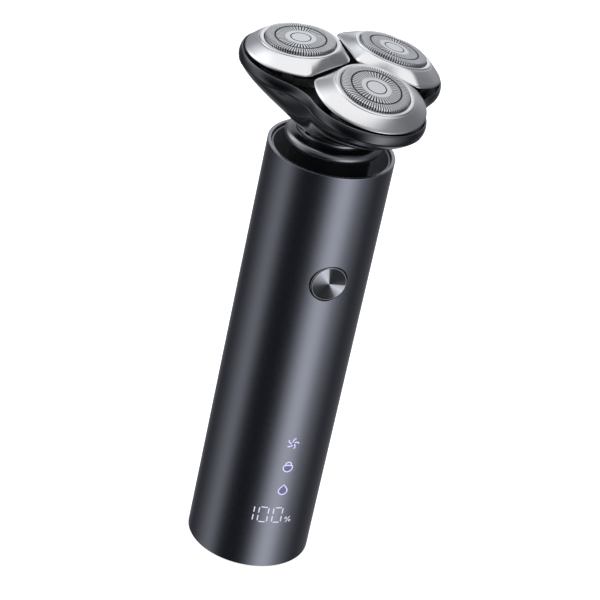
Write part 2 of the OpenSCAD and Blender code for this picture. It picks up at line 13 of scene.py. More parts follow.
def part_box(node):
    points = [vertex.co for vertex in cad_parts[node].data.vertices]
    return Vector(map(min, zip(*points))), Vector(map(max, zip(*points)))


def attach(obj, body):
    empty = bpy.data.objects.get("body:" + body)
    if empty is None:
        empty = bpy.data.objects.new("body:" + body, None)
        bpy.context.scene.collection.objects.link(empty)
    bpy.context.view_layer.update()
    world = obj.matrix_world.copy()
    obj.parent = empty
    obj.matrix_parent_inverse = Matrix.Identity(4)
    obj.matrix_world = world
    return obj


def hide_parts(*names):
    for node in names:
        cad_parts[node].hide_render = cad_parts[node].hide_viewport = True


MM = 0.001
SIDES = ("front", "right", "left")
COLUMNS = 192

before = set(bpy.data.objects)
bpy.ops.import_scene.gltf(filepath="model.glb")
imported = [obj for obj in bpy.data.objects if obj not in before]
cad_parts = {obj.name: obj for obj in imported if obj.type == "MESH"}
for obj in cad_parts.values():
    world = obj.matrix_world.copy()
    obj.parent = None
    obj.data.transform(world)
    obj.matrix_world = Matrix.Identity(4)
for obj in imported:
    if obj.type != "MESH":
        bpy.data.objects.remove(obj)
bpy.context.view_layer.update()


def box_mm(node):
    """Lowest and highest corner of a CAD node in millimetres."""
    low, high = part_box(node)
    return low / MM, high / MM


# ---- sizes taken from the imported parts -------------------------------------

tube_low, tube_high = box_mm("body_tube")
cup_low, cup_high = box_mm("recess_cup")
column_low, column_high = box_mm("neck_column")
shoulder_low, shoulder_high = box_mm("neck_shoulder")
collar_low, collar_high = box_mm("head_collar")
button_low, button_high = box_mm("power_button")

BODY_R = tube_high.x
BASE_Z = tube_low.z
RIM_Z = tube_high.z
TUBE_WALL = 1.1
TUBE_IR = BODY_R - TUBE_WALL
CUP_R = cup_high.x
CUP_WALL = 0.7
CUP_HOLE_R = 11.9
FLOOR_Z = cup_low.z + 1.4
COLUMN_R = 11.7
COLUMN_FOOT_R = 14
COLUMN_IR = 9.7
COLUMN_BORE_R = 5
COLUMN_LID = 2.7
SHOULDER_IR = 8.1
SHOULDER_R = 12.4
SHOULDER_BEAD_R = 1.8

BUTTON_Z = (button_low.z + button_high.z) / 2
BUTTON_FLANGE_R = (button_high.z - button_low.z) / 2
BUTTON_R = BUTTON_FLANGE_R - 0.85
BUTTON_FACE = -button_low.y
BUTTON_BACK = -button_high.y
BUTTON_HOLE_R = BUTTON_R + 0.2

COLLAR_IR = 6.4
COLLAR_NECK_R = 8.05
COLLAR_R = 11.4
COLLAR_Z = RIM_Z + 5.45
COLLAR_DISC = 0.9
EAR_X = 9.2
EAR_HALF_Y = 2.2

HEAD_Z = RIM_Z + 29.2
PIVOT_Z = HEAD_Z - 18
HEAD_ROLL = math.radians(3)
HEAD_PITCH = math.radians(4.25)
RIM_BOTTOM = -9.4
RIM_TOP = -6.5
LOBE_R = 17.2
LOBE_PITCH = 15.1
RAIL_WALL = 0.8
VALLEY_R = 14
BOWL_TOP = -9.5
BOWL_BOTTOM = -21.1
BOWL_END_R = 13.8
BOWL_HOLE_R = 11.2
BOWL_WALL = 1.3
BOWL_FLOOR = 1.4
BOWL_EAR_Y = 10.5
POST_PITCH = 12.2
POST_R = 1.6
POST_BORE_R = 0.75
POST_TOP = -15.2
WELL_R = 12.7
LUG_Y = 13.6

CUTTER_R = 16.7
LEAN = math.radians(8)
CAP_R = 10
LIP_R = 11.55
LIP_FOOT = -2.8
SKIRT_TOP = -1
SKIRT_EDGE = -4.3
SECTOR_R = 16.4
SECTOR_SHIFT = -1.2
UNIT_GAP = 1.4
APEX_FILLET = 4
CORNER_FILLET = 3.5

DIGIT_Z = 19.3
DIGIT_H = 5.6
DIGIT_W = 3.2
ICON_Z = 45.1
ICON_PITCH = 8.3


# ---- outlines -----------------------------------------------------------------


def polar(r, angle):
    return Vector((r * math.cos(angle), r * math.sin(angle)))


def arc(centre, r, start, end, steps):
    """Points on an arc about centre, angles in degrees."""
    span = math.radians(end - start)
    first = math.radians(start)
    return [Vector(centre) + polar(r, first + span * i / steps) for i in range(steps + 1)]


def turned(points, angle):
    """Flat points turned about the origin."""
    spin = Matrix.Rotation(angle, 2)
    return [spin @ Vector(p) for p in points]


def softened(corners, radius, steps=4):
    """A closed outline with each corner cut back by radius and rounded."""
    out = []
    count = len(corners)
    for i, corner in enumerate(corners):
        here = Vector(corner)
        before = Vector(corners[i - 1]) - here
        after = Vector(corners[(i + 1) % count]) - here
        cut = min(radius, before.length / 2.2, after.length / 2.2)
        a = here + before.normalized() * cut
        b = here + after.normalized() * cut
        for k in range(steps + 1):
            t = k / steps
            out.append(a * (1 - t) ** 2 + here * 2 * t * (1 - t) + b * t**2)
    return out


def unit_angle(i):
    return math.radians(-90 + 120 * i)


def trefoil(r, grow, lobe_steps=36, valley_steps=16):
    """Three convex lobes joined by concave arcs, about the head axis."""
    valley_r = VALLEY_R - grow
    half_pitch = LOBE_PITCH / 2
    reach = half_pitch + math.sqrt(half_pitch**2 - LOBE_PITCH**2 + (r + valley_r) ** 2)
    valley = polar(reach, math.radians(60))
    opening = math.degrees(math.atan2(valley.y, valley.x - LOBE_PITCH))
    third = arc((LOBE_PITCH, 0), r, -opening, opening, lobe_steps)
    third += arc(valley, valley_r, 180 + opening, 300 - opening, valley_steps)[1:-1]
    return [p for k in range(3) for p in turned(third, unit_angle(k))]


def sector(inset):
    """Rounded 120 degree sector about a cutter centre, pulled in by inset."""
    outer = SECTOR_R - inset
    gap = UNIT_GAP + inset
    apex_r = APEX_FILLET - inset
    corner_r = CORNER_FILLET - inset
    side = polar(1, math.radians(60))
    inward = Vector((side.y, -side.x))
    apex = Vector((-CUTTER_R / math.cos(LEAN) + gap / side.y, 0))
    start = apex + corner_r * inward - Vector((SECTOR_SHIFT, 0))
    along = start.dot(side)
    run = -along + math.sqrt(along**2 - start.dot(start) + (outer - corner_r) ** 2)
    corner = apex + run * side + corner_r * inward
    turn = math.degrees(math.atan2(corner.y, corner.x - SECTOR_SHIFT))
    half = arc((apex.x + apex_r / side.y, 0), apex_r, 180, 150, 10)
    straight = [half[-1].lerp(arc(corner, corner_r, 150, turn, 16)[0], k / 8) for k in range(1, 8)]
    half += straight + arc(corner, corner_r, 150, turn, 16)
    half += arc((SECTOR_SHIFT, 0), outer, turn, 0, 28)[1:]
    return half[::-1] + [Vector((p.x, -p.y)) for p in half[1:-1]]


# ---- mesh building --------------------------------------------------------------


class Shape:
    """Vertices in millimetres and faces, gathered patch by patch and welded when built."""

    def __init__(self):
        self.verts = []
        self.faces = []
        self.slots = []

    def skin(self, rings, slot=0, round_it=True, closed=False):
        """Quads between neighbouring rings of matching points."""
        first = len(self.verts)
        width = len(rings[0])
        for ring in rings:
            self.verts += [Vector(p) for p in ring]
        rows = len(rings) if closed else len(rings) - 1
        columns = width if round_it else width - 1
        for i in range(rows):
            a = first + i * width
            b = first + (i + 1) % len(rings) * width
            for j in range(columns):
                k = (j + 1) % width
                self.face((a + j, a + k, b + k, b + j), slot)
        return self

    def face(self, corners, slot=0):
        self.faces.append(corners)
        self.slots.append(slot)

    def lid(self, ring, slot=0):
        """One flat face over a ring."""
        first = len(self.verts)
        self.verts += [Vector(p) for p in ring]
        self.face(tuple(range(first, first + len(ring))), slot)
        return self

    def placed(self, matrix):
        self.verts = [matrix @ v for v in self.verts]
        return self

    def add(self, other):
        first = len(self.verts)
        self.verts += other.verts
        for corners, slot in zip(other.faces, other.slots):
            self.face(tuple(first + c for c in corners), slot)
        return self

    def build(self, name, body, materials, stands_for=(), finish_slot=None, crease=32):
        mesh = bpy.data.meshes.new(name)
        mesh.from_pydata([v * MM for v in self.verts], [], self.faces)
        for m in materials:
            mesh.materials.append(m)
        for polygon, slot in zip(mesh.polygons, self.slots):
            polygon.material_index = slot
        bm = bmesh.new()
        bm.from_mesh(mesh)
        bmesh.ops.remove_doubles(bm, verts=bm.verts, dist=2e-6)
        bmesh.ops.dissolve_degenerate(bm, edges=bm.edges, dist=1e-6)
        bmesh.ops.recalc_face_normals(bm, faces=bm.faces)
        bm.to_mesh(mesh)
        bm.free()
        mesh.shade_smooth()
        mesh.set_sharp_from_angle(angle=math.radians(crease))
        piece = bpy.data.objects.new(name, mesh)
        bpy.context.scene.collection.objects.link(piece)
        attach(piece, body)
        if stands_for:
            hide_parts(*stands_for)
        return piece


def lifted(points, z):
    return [(p[0], p[1], z) for p in points]


def circle(r, z, steps=COLUMNS):
    return lifted(arc((0, 0), r, 0, 360 - 360 / steps, steps - 1), z)


def lathe(profile, steps=COLUMNS):
    """A closed (radius, height) outline turned about +Z."""
    return Shape().skin([circle(*p, steps) for p in profile], closed=True)


# The floating head leans on its pivot at rest.
HEAD_LEAN = (
    Matrix.Translation((0, 0, PIVOT_Z))
    @ Matrix.Rotation(HEAD_ROLL, 4, "X")
    @ Matrix.Rotation(HEAD_PITCH, 4, "Y")
    @ Matrix.Translation((0, 0, -PIVOT_Z))
)


def at_unit(i):
    """Places a cutting unit's own frame, whose +Z is the cap's axis, in the CAD frame."""
    return (
        HEAD_LEAN
        @ Matrix.Translation((0, 0, HEAD_Z))
        @ Matrix.Rotation(unit_angle(i), 4, "Z")
        @ Matrix.Translation((CUTTER_R, 0, 0))
        @ Matrix.Rotation(LEAN, 4, "Y")
    )


# ---- materials --------------------------------------------------------------------


def node(tree, kind, inputs=None, **settings):
    made = tree.nodes.new(kind)
    for key, value in settings.items():
        setattr(made, key, value)
    for key, value in (inputs or {}).items():
        if isinstance(value, bpy.types.NodeSocket):
            tree.links.new(value, made.inputs[key])
        else:
            made.inputs[key].default_value = value
    return made


def finish(
    name,
    colour,
    second,
    roughness,
    spread=0.05,
    metallic=0.0,
    grain=400.0,
    stretch=(1, 1, 1),
    bump=0.05,
    bump_grain=5000.0,
    spun=None,
    **sockets,
):
    """A procedural material: two tones and a roughness that drift with a noise, over a fine bump.

    grain and bump_grain are counts per metre. spun is the axis letter that the highlights fan round.
    """
    material = bpy.data.materials.new(name)
    material.use_nodes = True
    tree = material.node_tree
    shader = tree.nodes["Principled BSDF"]
    place = node(tree, "ShaderNodeTexCoord").outputs["Object"]
    mapped = node(tree, "ShaderNodeMapping", {"Vector": place, "Scale": stretch}).outputs[0]
    coarse = {"Vector": mapped, "Scale": grain, "Detail": 3.0}
    drift = node(tree, "ShaderNodeTexNoise", coarse).outputs["Fac"]
    tones = {"Factor": drift, 6: (*colour, 1), 7: (*second, 1)}
    tone = node(tree, "ShaderNodeMix", tones, data_type="RGBA")
    tree.links.new(tone.outputs[2], shader.inputs["Base Color"])
    limits = {"From Min": 0.3, "From Max": 0.7, "To Min": roughness - spread, "To Max": roughness + spread}
    rough = node(tree, "ShaderNodeMapRange", {"Value": drift, **limits})
    tree.links.new(rough.outputs[0], shader.inputs["Roughness"])
    grit = {"Vector": mapped, "Scale": bump_grain, "Detail": 2.0}
    fine = node(tree, "ShaderNodeTexNoise", grit).outputs["Fac"]
    relief = node(tree, "ShaderNodeBump", {"Height": fine, "Strength": bump, "Distance": 0.0001})
    tree.links.new(relief.outputs[0], shader.inputs["Normal"])
    if spun:
        tangent = node(tree, "ShaderNodeTangent", direction_type="RADIAL", axis=spun)
        tree.links.new(tangent.outputs[0], shader.inputs["Tangent"])
    shader.inputs["Metallic"].default_value = metallic
    for key, value in sockets.items():
        shader.inputs[key.replace("_", " ")].default_value = value
    return material


graphite = finish(
    "graphite_anodised", (0.232, 0.238, 0.27), (0.25, 0.256, 0.29), 0.25, 0.015, 1.0, grain=900, bump=0.02,
    bump_grain=9000,
)
rim_metal = finish("rim_bevel_metal", (0.26, 0.265, 0.29), (0.3, 0.305, 0.33), 0.26, 0.03, 1.0, bump=0.02)
# The button's light and dark wedges are painted highlight and painted shade, multiplied into this material's
# colour further down.
button_metal = finish(
    "spun_button_painted_wedges", (0.62, 0.62, 0.64), (0.66, 0.66, 0.68), 0.34, 0.03, 1.0, bump=0.02, spun="Y",
    Anisotropic=0.6,
)
button_edge = finish("button_chamfer_metal", (0.3, 0.3, 0.32), (0.36, 0.36, 0.38), 0.14, 0.03, 1.0, bump=0.02)
silver = finish(
    "satin_silver", (0.8, 0.8, 0.805), (0.83, 0.83, 0.835), 0.22, 0.015, 1.0, grain=300, bump=0.006,
)
# A smoother, slightly lighter copy of the satin silver: the polish is real, and the lighter tone is a painted
# highlight on the round lip and the rolled lower edge.
silver_lip_highlight = finish("polished_lip_painted_highlight", (0.82, 0.82, 0.83), (0.88, 0.88, 0.89), 0.16, 0.03, 1.0, bump=0.02)
cap_steel = finish(
    "cap_steel", (0.84, 0.84, 0.85), (0.92, 0.92, 0.93), 0.3, 0.04, 1.0, grain=2500, bump=0.03, spun="Z",
    Anisotropic=0.7,
)
hub_steel = finish(
    "hub_steel", (0.78, 0.78, 0.79), (0.82, 0.82, 0.83), 0.34, 0.03, 1.0, grain=1500, bump=0.02,
)
# Near-black painted shade for the floors of the cap's slots and its turned grooves, standing in for their
# dark depth.
slot_and_groove_shade = finish("slot_and_groove_painted_shade", (0.015, 0.015, 0.017), (0.03, 0.03, 0.033), 0.5, 0.05, 0.4)
gloss_black = finish(
    "gloss_black", (0.009, 0.009, 0.011), (0.013, 0.013, 0.016), 0.14, 0.02, grain=300, bump=0.012,
    bump_grain=2500, Coat_Weight=0.5, Coat_Roughness=0.06,
)
gloss_grey = finish(
    "gloss_grey_liner", (0.5, 0.51, 0.54), (0.54, 0.55, 0.58), 0.4, 0.03, grain=300, bump=0.01,
    Coat_Weight=0.3, Coat_Roughness=0.12,
)
neck_metal = finish(
    "neck_ring_metal", (0.27, 0.275, 0.29), (0.3, 0.305, 0.32), 0.17, 0.02, 1.0, grain=300, bump=0.006,
)
rail_black = finish(
    "rail_dark_metal", (0.13, 0.132, 0.14), (0.15, 0.152, 0.16), 0.16, 0.02, 1.0, grain=300, bump=0.006,
)
deep_black = finish("moulded_black", (0.012, 0.012, 0.013), (0.02, 0.02, 0.022), 0.45, 0.06, bump=0.12)
mould_grey = finish("moulded_grey", (0.16, 0.16, 0.17), (0.2, 0.2, 0.21), 0.5, 0.06, bump=0.15)
mould_white = finish("moulded_white", (0.7, 0.7, 0.67), (0.78, 0.78, 0.75), 0.42, 0.05, bump=0.1)
mould_blue = finish("moulded_blue", (0.05, 0.16, 0.42), (0.07, 0.2, 0.5), 0.4, 0.05, bump=0.1)
mould_red = finish("moulded_red", (0.42, 0.03, 0.03), (0.5, 0.05, 0.04), 0.4, 0.05, bump=0.1)
rubber = finish("seal_rubber", (0.015, 0.015, 0.016), (0.028, 0.028, 0.03), 0.7, 0.08, bump=0.2)
steel = finish("drawn_steel", (0.5, 0.5, 0.51), (0.6, 0.6, 0.61), 0.28, 0.05, 1.0, stretch=(1, 1, 0.1))
blade_steel = finish("ground_steel", (0.6, 0.6, 0.61), (0.7, 0.7, 0.71), 0.22, 0.05, 1.0, bump=0.05)
nickel = finish("nickel_plate", (0.62, 0.58, 0.5), (0.7, 0.66, 0.58), 0.24, 0.04, 1.0, bump=0.03)
bronze = finish("sintered_bronze", (0.42, 0.25, 0.11), (0.52, 0.32, 0.15), 0.45, 0.07, 1.0, bump=0.2)
copper = finish("wound_copper", (0.5, 0.2, 0.09), (0.62, 0.28, 0.13), 0.35, 0.05, 1.0, bump=0.15)
sleeve = finish("cell_sleeve", (0.03, 0.1, 0.32), (0.04, 0.13, 0.4), 0.32, 0.04, bump=0.05, Coat_Weight=0.3)
board = finish("solder_mask", (0.01, 0.09, 0.04), (0.015, 0.14, 0.06), 0.38, 0.06, grain=900, bump=0.08)
lit = finish(
    "lit_glyph", (0.62, 0.6, 0.85), (0.72, 0.7, 0.95), 0.4, 0.04, bump=0.02,
    Emission_Color=(0.6, 0.57, 0.95, 1), Emission_Strength=0.85,
)
lit_digit = finish(
    "lit_digit", (0.6, 0.6, 0.75), (0.7, 0.7, 0.85), 0.4, 0.04, bump=0.02,
    Emission_Color=(0.66, 0.67, 0.84, 1), Emission_Strength=0.75,
)
lit_fill = finish(
    "lit_fill", (0.1, 0.1, 0.16), (0.13, 0.13, 0.2), 0.35, 0.04, bump=0.02,
    Emission_Color=(0.11, 0.1, 0.2, 1), Emission_Strength=0.8,
)


def set_stops(made, stops):
    """Gives a colour ramp node its (place, colour) stops."""
    elements = made.color_ramp.elements
    while len(elements) < len(stops):
        elements.new(0.5)
    for element, (place, colour) in zip(elements, stops):
        element.position = place
        element.color = colour


def painted_wedge_highlights(material, centre_z, stops):
    """Painted highlight and painted shade wedges that turn about the button's axis, multiplied into the base
    colour; stops are (degrees round, tone) from -X.
    """
    tree = material.node_tree
    shader = tree.nodes["Principled BSDF"]
    place = node(tree, "ShaderNodeTexCoord").outputs["Object"]
    parts = node(tree, "ShaderNodeSeparateXYZ", {0: place}).outputs
    height = node(tree, "ShaderNodeMath", {0: parts["Z"], 1: centre_z}, operation="SUBTRACT").outputs[0]
    turn = node(tree, "ShaderNodeMath", {0: height, 1: parts["X"]}, operation="ARCTAN2").outputs[0]
    whole_turn = {"Value": turn, "From Min": -math.pi, "From Max": math.pi}
    share = node(tree, "ShaderNodeMapRange", whole_turn).outputs[0]
    tones = node(tree, "ShaderNodeValToRGB", {"Fac": share})
    set_stops(tones, [(angle / 360, (tone, tone, tone * 1.04, 1)) for angle, tone in stops])
    drift = shader.inputs["Base Color"].links[0].from_socket
    toned = node(
        tree, "ShaderNodeMix", {"Factor": 1.0, 6: drift, 7: tones.outputs["Color"]}, data_type="RGBA",
        blend_type="MULTIPLY",
    )
    tree.links.new(toned.outputs[2], shader.inputs["Base Color"])


# ---- handle --------------------------------------------------------------------------

PATCH_COLUMNS = 24
PATCH_HALF_Z = 7.2
patch_half_angle = math.pi * PATCH_COLUMNS / COLUMNS


def on_cylinder(r, x, z):
    return (x, -math.sqrt(r * r - x * x), z)


def wall_patch(shape, r, hole_r, rings=6):
    """The square of a cylinder's front round the button, meshed from its edge in to the round hole."""
    half = PATCH_COLUMNS // 2
    edge = [(k / half, -1) for k in range(-half, half)]
    edge += [(1, k / half) for k in range(-half, half)]
    edge += [(-k / half, 1) for k in range(-half, half)]
    edge += [(-1, -k / half) for k in range(-half, half)]
    loops = []
    for i in range(rings + 1):
        f = i / rings
        loop = []
        for a, b in edge:
            t = math.atan2(b, a)
            x = (1 - f) * r * math.sin(a * patch_half_angle) + f * hole_r * math.cos(t)
            z = (1 - f) * b * PATCH_HALF_Z + f * hole_r * math.sin(t)
            loop.append(on_cylinder(r, x, BUTTON_Z + z))
        loops.append(loop)
    shape.skin(loops)
    return loops[-1]


def wall(shape, r, low, high):
    """A cylinder wall from low to high with the button's square left open."""
    heights = [low]
    heights += [BUTTON_Z + PATCH_HALF_Z * (2 * k / PATCH_COLUMNS - 1) for k in range(PATCH_COLUMNS + 1)]
    heights.append(high)
    step = 2 * math.pi / COLUMNS
    angles = [patch_half_angle + step * k for k in range(COLUMNS - PATCH_COLUMNS + 1)]

    def row(z, turns):
        return [(r * math.sin(t), -r * math.cos(t), z) for t in turns]

    shape.skin([row(z, angles) for z in heights], round_it=False)
    front = [-patch_half_angle + step * k for k in range(PATCH_COLUMNS + 1)]
    for pair in (heights[:2], heights[-2:]):
        shape.skin([row(z, front) for z in pair], round_it=False)


def front_circle(r, z):
    """A level circle that starts at the front, with points where the wall's are."""
    step = 2 * math.pi / COLUMNS
    return [(r * math.sin(k * step), -r * math.cos(k * step), z) for k in range(COLUMNS)]


bevel = 0.35
tube = Shape()
wall(tube, BODY_R, BASE_Z + bevel, RIM_Z - bevel)
wall(tube, TUBE_IR, BASE_Z + bevel, RIM_Z - bevel)
top_edge = softened(
    [(BODY_R, RIM_Z - bevel), (BODY_R, RIM_Z), (TUBE_IR, RIM_Z), (TUBE_IR, RIM_Z - bevel)], bevel, 5
)[6:-6]
top_profile = [Vector((BODY_R, RIM_Z - bevel))] + top_edge + [Vector((TUBE_IR, RIM_Z - bevel))]
tube.skin([front_circle(*p) for p in top_profile], slot=1)
foot_profile = [(p[0], RIM_Z + BASE_Z - p[1]) for p in top_profile]
tube.skin([front_circle(*p) for p in foot_profile])
hole_chamfer = 0.12
outer_hole = wall_patch(tube, BODY_R, BUTTON_HOLE_R + hole_chamfer)
inner_hole = wall_patch(tube, TUBE_IR, BUTTON_HOLE_R)
narrowing = BUTTON_HOLE_R / (BUTTON_HOLE_R + hole_chamfer)
throat = [(x * narrowing, y + hole_chamfer, BUTTON_Z + (z - BUTTON_Z) * narrowing) for x, y, z in outer_hole]
tube.skin([outer_hole, throat, inner_hole])
tube.build("tube_shell", "handle", [graphite, rim_metal], ["body_tube"], "tube_metal")

cup = [
    (CUP_HOLE_R, cup_low.z), (CUP_R, cup_low.z), (CUP_R, cup_high.z), (CUP_R - CUP_WALL, cup_high.z),
    (CUP_R - CUP_WALL, FLOOR_Z), (CUP_HOLE_R, FLOOR_Z),
]
lathe(softened(cup, 0.25)).build("recess_liner", "handle", [gloss_grey], ["recess_cup"], "gloss_grey")

column_foot_z = column_low.z + 0.8
column = [
    (COLUMN_IR, column_low.z), (COLUMN_FOOT_R, column_low.z), (COLUMN_FOOT_R, column_foot_z),
    (COLUMN_R, column_foot_z), (COLUMN_R, column_high.z), (COLUMN_BORE_R, column_high.z),
    (COLUMN_BORE_R, column_high.z - COLUMN_LID), (COLUMN_IR, column_high.z - COLUMN_LID),
]
lathe(softened(column, 0.35)).build("neck_barrel", "handle", [gloss_black], ["neck_column"], "gloss_black")

shoulder_mid = shoulder_low.z + SHOULDER_BEAD_R
shoulder = [Vector((SHOULDER_IR, shoulder_low.z)), Vector((SHOULDER_R, shoulder_low.z))]
shoulder += arc((SHOULDER_R, shoulder_mid), SHOULDER_BEAD_R, -80, 60, 24)
shoulder += arc((SHOULDER_R - 1.2, shoulder_high.z - 0.6), 0.6, 40, 90, 6)
shoulder.append(Vector((SHOULDER_IR, shoulder_high.z)))
lathe(shoulder).build("neck_ring", "handle", [neck_metal], ["neck_shoulder"], "gloss_black", crease=50)


# ---- lit display -----------------------------------------------------------------------


def on_face(r, s, z):
    """A point on the handle's front, s to the right along the surface."""
    return (r * math.sin(s / BODY_R), -r * math.cos(s / BODY_R), z)


def ribbon(shape, line, width, slot=0, loop=False, proud=0.02, depth=0.3):
    """A stroke of the display: a strip of constant width along line, inlaid in the wall."""
    points = [Vector(p) for p in line]
    count = len(points)
    rings = []
    for i, p in enumerate(points):
        before = points[i - 1] if loop or i else p
        after = points[(i + 1) % count] if loop or i + 1 < count else p
        heading = (after - before).normalized()
        across = Vector((-heading.y, heading.x)) * width / 2
        a, b = p + across, p - across
        rings.append([
            on_face(BODY_R + proud, *a), on_face(BODY_R + proud, *b),
            on_face(BODY_R - depth, *b), on_face(BODY_R - depth, *a),
        ])
    shape.skin(rings, slot, closed=loop)
    if not loop:
        shape.lid(rings[0], slot).lid(rings[-1], slot)


def inlay(shape, outline, slot, proud=0.008, depth=0.2):
    """A filled area of the display, as a fan of narrow slices that follow the wall."""
    centre = sum((Vector(p) for p in outline), Vector((0, 0))) / len(outline)
    rings = []
    for f in (0.02, 0.35, 0.7, 1):
        rings.append([on_face(BODY_R + proud, *(centre + (Vector(p) - centre) * f)) for p in outline])
    back = [on_face(BODY_R - depth, *(centre + (Vector(p) - centre) * f)) for p in outline]
    shape.skin([*rings, back], slot).lid(rings[0], slot).lid(back, slot)


glyphs = Shape()
ICON = 0
DIGIT = 1
FILL = 2
icon_stroke = 0.33
digit_stroke = 0.33


def shifted(points, s, z):
    return [Vector((p[0] + s, p[1] + z)) for p in points]


FAN_BLADE = [(0.45, 35), (0.8, 12), (1.2, 0), (1.6, -6), (1.85, -22)]
for blade in range(5):
    lead = 90 - 72 * blade
    hook = [polar(r, math.radians(lead + bend)) for r, bend in FAN_BLADE]
    ribbon(glyphs, shifted(hook, 0, ICON_Z), icon_stroke, ICON)
inlay(glyphs, shifted(arc((0, 0), 0.75, 0, 345, 23), 0, ICON_Z), FILL)

lock_z = ICON_Z - ICON_PITCH
lock_body = arc((0, -0.45), 1.28, 45, 135, 8) + arc((0, -0.35), 1.42, 150, 390, 30)
lock_body = [Vector((p.x, p.y if p.y < 0.42 else 0.42 + (p.y - 0.42) * 0.15)) for p in lock_body]
ribbon(glyphs, shifted(lock_body, 0, lock_z), icon_stroke, ICON, loop=True)
shackle = arc((0, 0.75), 0.88, -18, 198, 20)
ribbon(glyphs, shifted(shackle, 0, lock_z), icon_stroke, ICON)
inlay(glyphs, shifted([p * 0.9 for p in lock_body], 0, lock_z - 0.04), FILL)

drop_z = ICON_Z - 2 * ICON_PITCH
drop = arc((0, -0.35), 1.35, 145, 395, 30) + [Vector((0.6, 1.05)), Vector((0, 1.8)), Vector((-0.6, 1.05))]
ribbon(glyphs, shifted(drop, 0, drop_z), icon_stroke, ICON, loop=True)
inlay(glyphs, shifted([p * 0.88 for p in drop], 0, drop_z), FILL)


def bar(s, z, width, height):
    """An upright or level segment of a digit."""
    if height > width:
        ends = [(s, z - height / 2), (s, z), (s, z + height / 2)]
        ribbon(glyphs, ends, width, DIGIT)
    else:
        ribbon(glyphs, [(s + width * k / 4, z) for k in (-2, -1, 0, 1, 2)], height, DIGIT)


def upright(s):
    for sign in (-1, 1):
        bar(s, DIGIT_Z + sign * DIGIT_H / 4, digit_stroke, DIGIT_H / 2 - 0.9)


def zero(s):
    reach = (DIGIT_W - digit_stroke) / 2
    for sign in (-1, 1):
        upright(s + sign * reach)
        bar(s, DIGIT_Z + sign * (DIGIT_H - digit_stroke) / 2, DIGIT_W - 1.3, digit_stroke)


def arc_mm(degrees):
    return BODY_R * math.radians(degrees)


upright(arc_mm(-22.6))
zero(arc_mm(-13.6))
zero(0)
percent_s = arc_mm(11.7)
percent_z = DIGIT_Z - DIGIT_H / 2 + 0.9
slash = [(percent_s + 0.6 * k, percent_z + k) for k in (-1, 0, 1)]
ribbon(glyphs, slash, 0.26, DIGIT)
for sign in (-1, 1):
    dot = arc((percent_s - sign * 0.72, percent_z + sign * 0.55), 0.3, 0, 330, 11)
    ribbon(glyphs, dot, 0.22, DIGIT, loop=True)
glyphs.build("display_strokes", "handle", [lit, lit_digit, lit_fill], ["display_glyphs"], "lit_glyph")


# ---- power button ------------------------------------------------------------------------

button_profile = [
    (0, BUTTON_BACK), (BUTTON_FLANGE_R, BUTTON_BACK), (BUTTON_FLANGE_R, BUTTON_BACK + 0.6),
    (BUTTON_R, BUTTON_BACK + 0.6), (BUTTON_R, BUTTON_FACE - 0.35), (BUTTON_R - 0.08, BUTTON_FACE - 0.2),
    (BUTTON_R - 0.3, BUTTON_FACE), (BUTTON_R - 0.38, BUTTON_FACE), (0, BUTTON_FACE),
]
# Painted highlights and painted shade: light and dark wedges on the button face that stand in for reflections
# and do not move with the view.
painted_wedge_highlights(
    button_metal,
    BUTTON_Z * MM,
    [
        (0, 0.16), (14, 0.07), (55, 0.035), (98, 0.05), (116, 0.12), (131, 0.6), (150, 0.95), (172, 0.75),
        (178, 0.1), (205, 0.04), (262, 0.04), (277, 0.1), (284, 0.85), (304, 0.95), (326, 0.5), (360, 0.16),
    ],
)
turned_to_front = Matrix.Translation((0, 0, BUTTON_Z)) @ Matrix.Rotation(math.radians(90), 4, "X")
button = Shape()
button.skin([circle(r, z, 128) for r, z in button_profile[:5]])
button.skin([circle(r, z, 128) for r, z in button_profile[4:8]], slot=1)
button.skin([circle(r, z, 128) for r, z in button_profile[7:]], slot=0)
button.placed(turned_to_front)
button.build("button_cap", "button", [button_metal, button_edge], ["power_button"], "button_metal", crease=12)


# ---- head collar, bowl and frame -------------------------------------------------------------


def block(low, high):
    """A box with its edges cut, between two corners."""
    middle = (Vector(low) + Vector(high)) / 2
    half = (Vector(high) - Vector(low)) / 2
    cut = 0.2
    outline = softened([(-half.x, -half.y), (half.x, -half.y), (half.x, half.y), (-half.x, half.y)], cut, 2)
    inner = [p * (1 - cut / max(half.x, half.y)) for p in outline]
    levels = [(inner, -half.z), (outline, cut - half.z), (outline, half.z - cut), (inner, half.z)]
    rings = [[(p.x + middle.x, p.y + middle.y, middle.z + z) for p in ring] for ring, z in levels]
    return Shape().skin(rings).lid(rings[0]).lid(rings[-1])


collar_top = COLLAR_Z + COLLAR_DISC
collar = [
    (COLLAR_IR, collar_low.z), (COLLAR_NECK_R, collar_low.z), (COLLAR_NECK_R, COLLAR_Z), (COLLAR_R, COLLAR_Z),
    (COLLAR_R, collar_top), (COLLAR_IR, collar_top),
]
collar_shape = lathe(softened(collar, 0.22))
for sign in (-1, 1):
    near = (sign * EAR_X - 0.9, -EAR_HALF_Y, COLLAR_Z + 0.8)
    far = (sign * EAR_X + 0.9, EAR_HALF_Y, collar_high.z)
    collar_shape.add(block(near, far))
collar_shape.build("collar_ring", "collar", [neck_metal], ["head_collar"], "gloss_black")


def onto_circle(p, r):
    return p.normalized() * r


def bowl_ring(f, inset):
    """Outline of the bowl at a fraction f of the way down, pulled in by inset."""
    pull = f**1.3
    return [
        p.lerp(onto_circle(p, BOWL_END_R), pull) - onto_circle(p, inset) for p in trefoil(LOBE_R - 0.3, 0)
    ]


def bowl_z(f):
    return HEAD_Z + BOWL_TOP + (BOWL_BOTTOM - BOWL_TOP) * f


